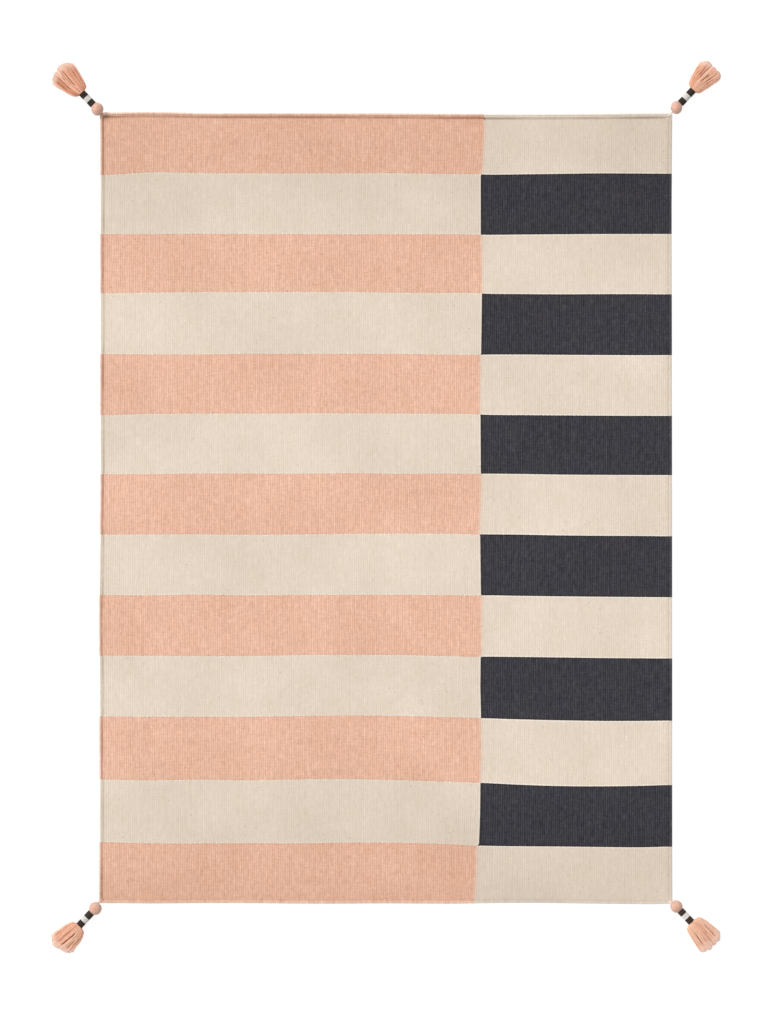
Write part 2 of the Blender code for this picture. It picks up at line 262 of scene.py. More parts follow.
# ---------------------------------------------------------------- materials
class Shade:
    """One material's nodes, made a call at a time."""

    def __init__(self, name, roughness=0.9, sheen=0.3, sheen_roughness=0.5, specular=0.25):
        self.material = bpy.data.materials.new(name)
        self.material.use_nodes = True
        self.tree = self.material.node_tree
        self.shader = self.tree.nodes["Principled BSDF"]
        self.shader.inputs["Roughness"].default_value = roughness
        self.shader.inputs["Sheen Weight"].default_value = sheen
        self.shader.inputs["Sheen Roughness"].default_value = sheen_roughness
        self.shader.inputs["Specular IOR Level"].default_value = specular

    def put(self, socket, value):
        if isinstance(value, bpy.types.NodeSocket):
            self.tree.links.new(value, socket)
        elif value is not None:
            socket.default_value = value

    def math(self, operation, a, b=None, c=None, clamp=False):
        n = self.tree.nodes.new("ShaderNodeMath")
        n.operation, n.use_clamp = operation, clamp
        for i, v in enumerate((a, b, c)):
            self.put(n.inputs[i], v)
        return n.outputs[0]

    def uv(self, name):
        n = self.tree.nodes.new("ShaderNodeUVMap")
        n.uv_map = name
        return self.split(n.outputs[0])

    def split(self, vector):
        n = self.tree.nodes.new("ShaderNodeSeparateXYZ")
        self.put(n.inputs[0], vector)
        return n.outputs

    def join(self, x, y, z=0.0):
        n = self.tree.nodes.new("ShaderNodeCombineXYZ")
        for i, v in enumerate((x, y, z)):
            self.put(n.inputs[i], v)
        return n.outputs[0]

    def place(self):
        return self.tree.nodes.new("ShaderNodeTexCoord").outputs["Object"]

    def noise(self, vector, scale=1.0, detail=2.0, rough=0.5):
        n = self.tree.nodes.new("ShaderNodeTexNoise")
        self.put(n.inputs["Vector"], vector)
        n.inputs["Scale"].default_value = scale
        n.inputs["Detail"].default_value = detail
        n.inputs["Roughness"].default_value = rough
        return n.outputs[0]

    def random(self, x, y):
        n = self.tree.nodes.new("ShaderNodeTexWhiteNoise")
        n.noise_dimensions = "2D"
        self.put(n.inputs["Vector"], self.join(x, y))
        return n.outputs["Value"]

    def ramp(self, value, low, high, to_low=0.0, to_high=1.0, soft=True):
        n = self.tree.nodes.new("ShaderNodeMapRange")
        n.interpolation_type = "SMOOTHSTEP" if soft else "LINEAR"
        self.put(n.inputs["Value"], value)
        for key, v in (("From Min", low), ("From Max", high), ("To Min", to_low), ("To Max", to_high)):
            self.put(n.inputs[key], v)
        return n.outputs[0]

    def mix(self, share, a, b, kind="MIX"):
        n = self.tree.nodes.new("ShaderNodeMix")
        n.data_type, n.blend_type = "RGBA", kind
        self.put(n.inputs["Factor"], share)
        for socket, v in ((n.inputs[6], a), (n.inputs[7], b)):
            self.put(socket, (*v, 1.0) if isinstance(v, tuple) else v)
        return n.outputs[2]

    def scaled(self, colour, amount):
        """The colour times a number."""
        n = self.tree.nodes.new("ShaderNodeVectorMath")
        n.operation = "SCALE"
        self.put(n.inputs[0], colour)
        self.put(n.inputs["Scale"], amount)
        return n.outputs[0]

    def times(self, a, b):
        n = self.tree.nodes.new("ShaderNodeVectorMath")
        n.operation = "MULTIPLY"
        self.put(n.inputs[0], a)
        self.put(n.inputs[1], b)
        return n.outputs[0]

    def swing(self, value, size):
        """1 plus that much of a 0 to 1 value round its middle."""
        return self.math("MULTIPLY_ADD", value, 2 * size, 1.0 - size)

    def bump(self, height, distance, strength=1.0):
        n = self.tree.nodes.new("ShaderNodeBump")
        n.inputs["Strength"].default_value = strength
        n.inputs["Distance"].default_value = distance
        self.put(n.inputs["Height"], height)
        self.tree.links.new(n.outputs[0], self.shader.inputs["Normal"])

    def colour(self, value):
        self.put(self.shader.inputs["Base Color"], value)

    def product(self, *values):
        out = values[0]
        for v in values[1:]:
            out = self.math("MULTIPLY", out, v)
        return out


def weave_material(name, base, rim, groove, line, lively, deep, hue, cord_light, wider=0.0):
    """Weft-faced wool. base is its colour, rim the corded edge's, groove the painted shade in the groove along that
    cord and the colour of dark specks, line what shows along a block's own ends, lively how uneven its yarn is, deep
    how much painted shade darkens it between the ribs, and wider how much wider its cord is."""
    navy = name == "rug_navy"
    m = Shade(name, roughness=0.92, sheen=0.05 if navy else 0.12, sheen_roughness=0.6, specular=0.12)
    u, v, _ = m.uv("weave")
    rib = m.math("DIVIDE", m.math("ADD", u, (RUG_WIDTH / 2 - BODY_IN) * MM), PITCH * MM)
    which = m.math("FLOOR", rib)
    across = m.math("FRACT", rib)
    # Each pick shows on every other rib.
    pick = m.math("ADD", m.math("DIVIDE", v, 0.0027), m.math("MULTIPLY", m.math("MODULO", which, 2.0), 0.5))
    pick = m.math("ADD", pick, m.math("MULTIPLY", m.noise(m.join(which, m.math("MULTIPLY", v, 60.0))), 0.9))
    off = m.math("SUBTRACT", across, 0.5)
    pick = m.math("ADD", pick, m.math("MULTIPLY", m.math("MULTIPLY", off, off), 1.2))
    which_pick = m.math("FLOOR", pick)

    # How far in from the rug's edge, and from the nearest end of a band.
    in_x = m.math("SUBTRACT", RUG_WIDTH / 2 * MM, m.math("ABSOLUTE", u))
    in_y = m.math("SUBTRACT", RUG_LENGTH / 2 * MM, m.math("ABSOLUTE", v))
    corner = 0.017  # the edge's cord turns the corners in a curve
    past = [m.math("MAXIMUM", m.math("SUBTRACT", corner, i), 0.0) for i in (in_x, in_y)]
    past = m.math("SQRT", m.math("ADD", *(m.math("MULTIPLY", i, i) for i in past)))
    nearest = m.math("MINIMUM", in_x, in_y)
    beyond = m.math("MAXIMUM", m.math("SUBTRACT", nearest, corner), 0.0)
    inside = m.math("MINIMUM", nearest, m.math("ADD", m.math("SUBTRACT", corner, past), beyond))
    pingpong = m.math("PINGPONG", m.math("ADD", v, RUG_LENGTH / 2 * MM), BAND * MM)
    from_band = m.math("MINIMUM", pingpong, m.math("SUBTRACT", BAND * MM, pingpong))
    from_join = m.math("ABSOLUTE", m.math("SUBTRACT", u, (JOIN_RIB * PITCH - RUG_WIDTH / 2 + BODY_IN) * MM))

    # Uneven yarn: each rib, long and short streaks along it, picks, single stitches and wide clouds. The streaks along
    # the ribs are partly the yarn's own tone and partly painted light and shade of the ribs' uneven relief.
    streak = m.noise(m.join(m.math("MULTIPLY", u, 190.0), m.math("MULTIPLY", v, 9.0)), detail=1.0)
    short = m.noise(m.join(m.math("MULTIPLY", u, 185.0), m.math("MULTIPLY", v, 50.0), 4.0), detail=1.5)
    rows = m.noise(m.join(m.math("MULTIPLY", u, 45.0), m.math("MULTIPLY", v, 250.0), 2.0), detail=1.0)
    stitch = m.random(which, which_pick)
    clouds = m.noise(m.place(), scale=3.5, detail=5.0, rough=0.62)
    fibres = m.noise(m.place(), scale=900.0, detail=2.0)
    bright = m.product(
        m.swing(m.random(which, 3.0), 0.015 * lively),
        m.swing(streak, 0.11 * lively),
        m.swing(short, 0.22 * lively),
        m.swing(rows, 0.13 * lively),
        m.swing(stitch, 0.04 * lively),
        m.swing(clouds, 0.17),
        m.swing(fibres, 0.10),
        m.swing(m.noise(m.join(m.math("MULTIPLY", u, 300.0), m.math("MULTIPLY", v, 2400.0), 7.0), detail=2.0), 0.16),
    )
    # Painted shade: the cloth greys and darkens a little towards both ends.
    far = m.ramp(m.math("ABSOLUTE", v), 0.55, 1.06, 0.99, 0.89)
    # Painted shade between the ribs.
    valley = m.ramp(m.math("ABSOLUTE", m.math("SUBTRACT", across, 0.5)), 0.22, 0.5)
    valley = m.math("MULTIPLY", valley, m.ramp(inside, 0.009, 0.0105))
    bright = m.product(bright, far, m.math("SUBTRACT", 1.0, m.math("MULTIPLY", valley, deep)))

    tint = m.noise(m.place(), scale=14.0, detail=3.0)
    cast = m.noise(m.join(m.math("MULTIPLY", which, 2.9), m.math("MULTIPLY", v, 14.0), 9.0), detail=2.0)
    warm = tuple(c * k for c, k in zip(base, hue))
    cool = tuple(c * (2 - k) for c, k in zip(base, hue))
    colour = m.mix(m.ramp(m.math("MULTIPLY_ADD", cast, 0.5, m.math("MULTIPLY", tint, 0.5)), 0.3, 0.7), warm, cool)

    # Along a block's ends the weft packs tighter, on some ribs more than on others; on the pink blocks the darker line
    # there is painted shade of the small groove it leaves.
    body = m.ramp(inside, 0.008, 0.010)
    on_right = m.ramp(m.math("SUBTRACT", u, JOIN_X * MM), -0.0002, 0.0002, soft=False)
    dots = m.ramp(m.noise(m.join(m.math("MULTIPLY", which, 4.3), m.math("MULTIPLY", v, 5.0), 6.0)), 0.40, 0.60)
    if name == "rug_pink":
        # Painted shade along the pink block's ends.
        ends = m.math("MULTIPLY", m.ramp(from_band, 0.0012, 0.0034, 1.0, 0.0), m.math("MULTIPLY_ADD", dots, 0.4, 0.1))
        colour = m.mix(m.math("MULTIPLY", ends, body), colour, line)
        # Where it meets the cream column it thins to a paler line.
        colour = m.mix(m.math("MULTIPLY", m.ramp(from_join, 0.0008, 0.003, 0.75, 0.0), body), colour, rim)
    elif navy:
        ends = m.math("MAXIMUM", m.ramp(from_band, 0.0018, 0.0042, 1.0, 0.0), m.ramp(from_join, 0.0022, 0.0050, 1.0, 0.0))
        colour = m.mix(m.math("MULTIPLY", ends, body), colour, line)
    else:  # pale beside the dark blocks, and in dots beside the pink ones
        some = m.math("MAXIMUM", on_right, m.math("MULTIPLY", dots, 0.7))
        ends = m.math("MULTIPLY", m.ramp(from_band, 0.0014, 0.0042, 1.0, 0.0), some)
        beside_dark = m.math("MULTIPLY", m.ramp(from_join, 0.0010, 0.0040, 1.0, 0.0), m.math("SUBTRACT", 1.0, on_right))
        colour = m.mix(m.math("MULTIPLY", m.math("MAXIMUM", ends, beside_dark), body), colour, line)
        # Beside the pink blocks it takes some of their colour.
        blush = m.product(m.ramp(from_join, 0.0020, 0.0075, 0.8, 0.0), on_right, body)
        colour = m.mix(blush, colour, under_light(232, 206, 188))

    # The corded edge, paler, and painted shade in the groove along it, fading in and out and only on the left and top
    # sides.
    cord = m.ramp(inside, 0.0058, 0.0074, 1.0, 0.0)
    colour = m.mix(m.math("MULTIPLY", cord, 0.85), colour, rim)
    faint = m.noise(m.join(m.math("MULTIPLY", u, 7.0), m.math("MULTIPLY", v, 7.0), 3.0), detail=3.0)
    strong = m.ramp(faint, 0.35, 0.62, 0.55, 1.0)
    right, top = (m.ramp(i, -0.02, 0.02, soft=False) for i in (u, v))
    on_end = m.ramp(m.math("SUBTRACT", in_x, in_y), -0.006, 0.006)

    def by_side(at_left, at_right, at_bottom, at_top):
        sides, ends = m.ramp(right, 0, 1, at_left, at_right, False), m.ramp(top, 0, 1, at_bottom, at_top, False)
        return m.math("ADD", sides, m.math("MULTIPLY", on_end, m.math("SUBTRACT", ends, sides)))

    apart = m.math("ABSOLUTE", m.math("SUBTRACT", inside, by_side(0.0095 + wider, 0.0078, 0.0090, 0.0118 + wider)))
    groove_here = m.ramp(m.math("DIVIDE", apart, by_side(0.0037, 0.0040, 0.0045, 0.0056)), 0.12, 1.0, 1.0, 0.0)
    colour = m.mix(m.product(groove_here, strong, by_side(0.82, 0.0, 0.0, 0.80)), colour, groove)
    # The hem is a little darker and the cord paler, both by how the light meets them.
    hem = m.product(m.ramp(inside, 0.002, 0.024, 1.0, 0.0), by_side(0.04, 0.09, 0.03, 0.04))
    on_cord = m.math("SUBTRACT", by_side(*cord_light), 1.0)
    bright = m.product(
        bright,
        m.math("SUBTRACT", 1.0, hem),
        # Painted light: the groove a little paler on the right and bottom sides.
        m.math("MULTIPLY_ADD", groove_here, by_side(0.0, 0.13, 0.05, 0.0), 1.0),
        m.math("MULTIPLY_ADD", m.ramp(inside, 0.0045 + wider, 0.0078 + wider, 1.0, 0.0), on_cord, 1.0),
        m.ramp(inside, 0.0, 0.0048, by_side(0.90, 1.62, 1.46, 1.03), 1.0),
    )

    # Specks of stray fibre spun into the yarn.
    speck = m.random(m.math("ADD", which, 0.5), m.math("ADD", which_pick, 0.5))
    round_one = [m.math("SUBTRACT", i, 0.5) for i in (across, m.math("FRACT", pick))]
    round_one = m.math("ADD", *(m.math("MULTIPLY", i, i) for i in round_one))
    round_one = m.math("MULTIPLY", m.ramp(round_one, 0.06, 0.24, 1.0, 0.0), body)
    colour = m.mix(m.math("MULTIPLY", m.ramp(speck, 0.9980, 0.9986, 0.0, 0.55), round_one), colour, groove)
    pale = tuple(min(c * 1.25 + 0.03, 1.0) for c in base)
    colour = m.mix(m.math("MULTIPLY", m.ramp(speck, 0.0034, 0.0026, 0.0, 0.60), round_one), colour, pale)
    # Rounded stitches across each rib, and slanting turns of yarn round the edge's cord, with painted shade between
    # them.
    slant = m.math("MULTIPLY", inside, 170.0)
    end_cord = m.math("MULTIPLY", m.ramp(m.math("SUBTRACT", in_x, in_y), -0.0004, 0.0004), m.ramp(in_y, 0.0074, 0.0066))
    side_cord = m.ramp(inside, 0.0066, 0.0074, 1.0, 0.0)
    wound = [m.math("ADD", m.math("DIVIDE", i, 0.0020), slant) for i in (v, u)]
    along = m.mix(side_cord, m.join(pick, 0.0), m.join(wound[0], 0.0))
    along = m.split(m.mix(end_cord, along, m.join(wound[1], 0.0)))[0]
    wave = m.math("ABSOLUTE", m.math("SINE", m.math("MULTIPLY", along, math.pi)))
    bright = m.math("MULTIPLY", bright, m.ramp(wave, 0.0, 0.5, 0.78, 1.0))

    # Loose fibre scatters white light, so brighter yarn is also paler.
    mean = sum(base) / 3
    even = [(c / mean) ** -0.4167 for c in base]
    more = m.math("SUBTRACT", bright, 1.0)
    m.colour(m.times(colour, m.join(*(m.math("MULTIPLY_ADD", more, k, 1.0) for k in even))))

    fuzz = m.noise(m.place(), scale=1500.0, detail=3.0)
    height = m.math("ADD", m.math("MULTIPLY", wave, 0.7), m.math("MULTIPLY", fuzz, 0.45))
    height = m.math("ADD", height, m.math("MULTIPLY", m.noise(m.place(), scale=260.0, detail=3.0), 0.8))
    m.bump(height, 0.00014)
    return m.material


def yarn_material(name, base, lighter, deeper, uneven=0.10, tips=None, twist=0.0065, sheen=0.25, valley=0.82):
    """Twisted yarn. Its map "yarn" holds metres along and turns round it, and "strand" a number for each yarn and the share of its length."""
    m = Shade(name, roughness=0.88, sheen=sheen, sheen_roughness=0.45, specular=0.2)
    along, around, _ = m.uv("yarn")
    own, share, _ = m.uv("strand")
    ply = m.math("ADD", m.math("DIVIDE", along, twist), around)
    ply = m.math("ABSOLUTE", m.math("SINE", m.math("MULTIPLY", ply, math.pi * 2)))
    fibre = m.noise(m.join(m.math("MULTIPLY_ADD", along, 260.0, m.math("MULTIPLY", own, 71.0)), m.math("MULTIPLY", m.math("ADD", around, m.math("DIVIDE", along, twist * 2)), 9.0)), detail=3.0)
    slow = m.noise(m.join(m.math("MULTIPLY", along, 45.0), m.math("MULTIPLY", own, 97.0)), detail=2.0)
    colour = m.mix(m.ramp(own, 0.0, 0.5, soft=False), deeper, base)
    colour = m.mix(m.ramp(own, 0.5, 1.0, soft=False), colour, lighter)
    if tips:  # its cut end
        colour = m.mix(m.ramp(share, 0.70, 0.98, 0.0, 0.80), colour, tips)
    bright = m.product(
        m.swing(fibre, 0.16),
        m.swing(slow, uneven),
        # painted shade in the valleys between its plies, valley being the brightness left there
        m.ramp(ply, 0.0, 0.55, valley, 1.0),
    )
    m.colour(m.scaled(colour, bright))
    m.bump(m.math("ADD", m.math("MULTIPLY", ply, 0.8), m.math("MULTIPLY", fibre, 0.5)), 0.00010)
    return m.material


def felt_material(name, base, lighter, deeper):
    m = Shade(name, roughness=0.95, sheen=0.5, sheen_roughness=0.4, specular=0.1)
    place = m.place()
    blotch = m.noise(place, scale=120.0, detail=4.0, rough=0.6)
    fibre = m.noise(place, scale=900.0, detail=4.0, rough=0.7)
    colour = m.mix(m.ramp(blotch, 0.32, 0.68), deeper, base)
    colour = m.mix(m.ramp(fibre, 0.52, 0.72, 0.0, 0.5), colour, lighter)
    # Painted sheen: its flanks are greyer and paler than its crown.
    flank = m.ramp(m.split(place)[2], 0.0268, 0.0310, 1.0, 0.0)
    loose = [m.math("MULTIPLY_ADD", flank, k, 1.0) for k in (-0.08, 0.02, 0.10)]
    colour = m.times(colour, m.join(*loose))
    m.colour(m.scaled(colour, m.swing(fibre, 0.12)))
    m.bump(m.math("ADD", fibre, m.math("MULTIPLY", blotch, 1.5)), 0.0003)
    return m.material


LIGHT = 1.12  # what a white face up gives off in this scene's light


def under_light(r, g, b, more=1.0):
    """A colour measured in the picture, as what the surface itself must have."""
    return tuple(
        min(((c / 255 + 0.055) / 1.055) ** 2.4 if c > 10 else c / 3294.6, 1.0) / LIGHT * more
        for c in (r, g, b)
    )


PINK = weave_material(
    "rug_pink",
    under_light(233, 188, 164, 1.05),
    rim=under_light(238, 206, 189, 1.02),
    groove=under_light(166, 114, 88),
    line=under_light(214, 160, 134),
    lively=1.0,
    deep=0.18,
    hue=(1.008, 0.997, 0.985),
    cord_light=(1.19, 0.92, 0.88, 1.26),
)
CREAM = weave_material(
    "rug_cream",
    under_light(229, 214, 198, 1.01),
    rim=under_light(226, 214, 201, 1.0),
    groove=under_light(162, 145, 127),
    line=under_light(241, 232, 221, 1.02),
    lively=0.44,
    deep=0.02,
    hue=(1.006, 1.0, 0.982),
    cord_light=(1.48, 0.88, 0.94, 1.46),
    wider=0.0012,
)
NAVY = weave_material(
    "rug_navy",
    under_light(65, 64, 70, 1.0),
    rim=under_light(74, 72, 76),
    groove=under_light(40, 38, 38),
    line=under_light(56, 52, 46),
    lively=2.6,
    deep=0.52,
    hue=(0.985, 1.0, 1.045),
    cord_light=(1.0, 0.90, 1.0, 1.0),
)
SKIRT = yarn_material(
    "skirt_yarn",
    under_light(238, 178, 148, 0.96),
    under_light(246, 200, 174, 0.98),
    under_light(212, 142, 110, 0.92),
    tips=under_light(245, 211, 193, 1.0),
)
DARK = yarn_material("dark_wrap", under_light(57, 46, 39), under_light(78, 64, 54), under_light(46, 36, 30), twist=0.004, sheen=0.06)
PALE = yarn_material("pale_wrap", under_light(240, 236, 231, 0.80), under_light(244, 240, 236, 0.92), under_light(234, 229, 223, 0.76), uneven=0.06, twist=0.004, valley=0.93)
BALL = felt_material("ball_wool", under_light(229, 182, 161), under_light(240, 210, 196), under_light(214, 162, 140))
STITCH_PINK = yarn_material("stitch_pink", under_light(240, 198, 176), under_light(248, 216, 198), under_light(216, 166, 142), twist=0.004)
STITCH_CREAM = yarn_material("stitch_cream", under_light(238, 226, 210), under_light(244, 234, 222), under_light(206, 192, 174), twist=0.004)
KNOT = yarn_material("knot_brown", under_light(120, 84, 62), under_light(150, 110, 84), under_light(84, 56, 40), twist=0.003)


# ---------------------------------------------------------------- mesh making
class Build:
    """Points, faces and maps of one piece, gathered before its mesh is made."""

    def __init__(self):
        self.points, self.faces, self.yarn, self.strand, self.slots = [], [], [], [], []

    def tube(self, path, radii, sides=8, twist=0.0, own=0.0, ply=0.0, flat=None, slot=0, shares=None):
        """A closed yarn along a path of millimetres. twist is its turns for each millimetre, and ply how deep its plies' valleys are."""
        path = [Vector(p) for p in path]
        first = len(self.points)
        ahead = (path[1] - path[0]).normalized()
        side = ahead.cross(Vector((0, 0, 1)))
        if side.length < 1e-3:
            side = ahead.cross(Vector((1, 0, 0)))
        side.normalize()
        gone = 0.0
        total = sum((b - a).length for a, b in zip(path, path[1:]))
        for i, p in enumerate(path):
            if i:
                gone += (p - path[i - 1]).length
            after = path[min(i + 1, len(path) - 1)] - path[max(i - 1, 0)]
            after.normalize()
            side = (side - after * side.dot(after)).normalized()
            up = side.cross(after)
            r = radii[i] if hasattr(radii, "__len__") else radii
            for k in range(sides):
                a = 2 * math.pi * k / sides
                rho = r * (1 + ply * math.cos(2 * a))
                a += 2 * math.pi * twist * gone
                spot = p + side * (rho * math.cos(a)) + up * (rho * math.sin(a))
                if flat is not None:
                    spot.z = max(spot.z, flat)
                self.points.append(tuple(spot * MM))
                self.yarn.append((gone * MM, k / sides))
                self.strand.append((own, gone / total if shares is None else shares[i]))
        rings = len(path)
        for i in range(rings - 1):
            for k in range(sides):
                a, b = first + i * sides + k, first + i * sides + (k + 1) % sides
                self.faces.append((b, a, a + sides, b + sides))
                self.slots.append(slot)
        for start, back in ((first, True), (first + (rings - 1) * sides, False)):
            ring = list(range(start, start + sides))
            self.faces.append(tuple(ring if back else ring[::-1]))
            self.slots.append(slot)

    def piece(self, name, *materials, flat_ends=True):
        mesh = bpy.data.meshes.new(name)
        mesh.from_pydata(self.points, [], self.faces)
        loops = np.empty(len(mesh.loops), np.int32)
        mesh.loops.foreach_get("vertex_index", loops)
        for key, values in (("yarn", self.yarn), ("strand", self.strand)):
            if values:
                layer = mesh.uv_layers.new(name=key, do_init=False)
                layer.uv.foreach_set("vector", np.array(values, np.float32)[loops].ravel())
        for material in materials:
            mesh.materials.append(material)
        mesh.polygons.foreach_set("material_index", np.array(self.slots, np.int32))
        mesh.shade_smooth()
        if flat_ends:
            mesh.set_sharp_from_angle(angle=math.radians(62))
        mesh.update()
        made = bpy.data.objects.new(name, mesh)
        bpy.context.scene.collection.objects.link(made)
        return made


def stands_for(piece, slot, *nodes):
    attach(piece, "root")
    if nodes:
        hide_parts(*nodes)
    return piece


# ---------------------------------------------------------------- the rug
def wander(across, along):
    return (
        smooth_row(EDGE_WANDER, across, 1),
        smooth_row(EDGE_WANDER, across, 2),
        smooth_row(EDGE_WANDER, along, 3),
        smooth_row(EDGE_WANDER, along, 4),
    )


def lifted(x, y):
    return sum(
        lift * max(0.0, 1 - math.hypot(x - cx * RUG_WIDTH / 2, y - cy * RUG_LENGTH / 2) / LIFT_REACH) ** 1.5
        for cx, cy, _, lift in CORNERS
    )


def ripple(x, y):
    across, along = x / RUG_WIDTH, y / RUG_LENGTH
    fade = max(0.0, 1 - (2 * across) ** 8) * max(0.0, 1 - (2 * along) ** 8)
    return fade * sum(h * math.sin(2 * math.pi * (a * across + b * along) + phase) for h, a, b, phase in RIPPLES)


def join_shift(y):
    """How far the join between the columns is off its rib there, at a place of the straight weave."""
    down = (RUG_LENGTH / 2 - y) / BAND  # in bands, from the top
    n = min(int(down + 1e-6), BANDS - 1)
    t = down - n
    if abs(t) < 1e-3 and n > 0:  # both bands share this row
        at = (JOIN_AT[n - 1][2] + JOIN_AT[n][0]) / 2
    else:
        top, middle, bottom = JOIN_AT[n]
        at = top + (middle - top) * t * 2 if t < 0.5 else middle + (bottom - middle) * (t * 2 - 1)
    left, right = (smooth_row(EDGE_WANDER, y / RUG_LENGTH + 0.5, k) for k in (3, 4))
    across = JOIN_X / RUG_WIDTH + 0.5
    return at - (JOIN_X - left * (1 - across) + right * across)


def woven(x, y, side_cache={}, end_cache={}, band_cache={}):  # noqa: B006
    """Where a point of the straight weave lies on the real rug."""
    if y not in side_cache:
        along = min(max(y / RUG_LENGTH + 0.5, 0.0), 1.0)
        side_cache[y] = (
            smooth_row(EDGE_WANDER, along, 3),
            smooth_row(EDGE_WANDER, along, 4),
            join_shift(y) if abs(y) < RUG_LENGTH / 2 - 0.01 else join_shift(math.copysign(RUG_LENGTH / 2 - 0.1, y)),
        )
    left, right, shift = side_cache[y]
    across = x / RUG_WIDTH + 0.5
    near = abs(x - JOIN_X) / 120
    wx = x - left * (1 - across) + right * across
    if near < 1:
        wx += shift * (1 - smooth(near))
    inner = min(1.0, max(0.0, (RUG_WIDTH / 2 - BODY_IN - abs(x)) / 12))
    if inner > 0 and near > 0.04:
        wx += inner * min(1.0, (near - 0.04) * 8) * 0.8 * noise.noise(Vector((x / 21, y / 150, 0.3)))
    if x not in end_cache:
        a = min(max(across, 0.0), 1.0)
        end_cache[x] = (
            -RUG_LENGTH / 2 - smooth_row(EDGE_WANDER, a, 1),
            RUG_LENGTH / 2 + smooth_row(EDGE_WANDER, a, 2),
            [smooth_row(BAND_ENDS, x, k) for k in range(BANDS - 1, 0, -1)],
        )
    low, high, ends = end_cache[x]
    curve = [low] + ends + [high]
    up = min(max((y + RUG_LENGTH / 2) / BAND, 0.0), BANDS - 1e-9)
    n = int(up + 1e-7)
    n = min(n, BANDS - 1)
    t = up - n
    return wx, curve[n] + t * (curve[n + 1] - curve[n])


def block_colour(x, y):
    """Which of the three wools a place of the straight weave has."""
    from_top = min(int((RUG_LENGTH / 2 - y) / BAND), BANDS - 1)
    plain = from_top % 2 == 0
    if x < JOIN_X:
        return 0 if plain else 1
    return 1 if plain else 2


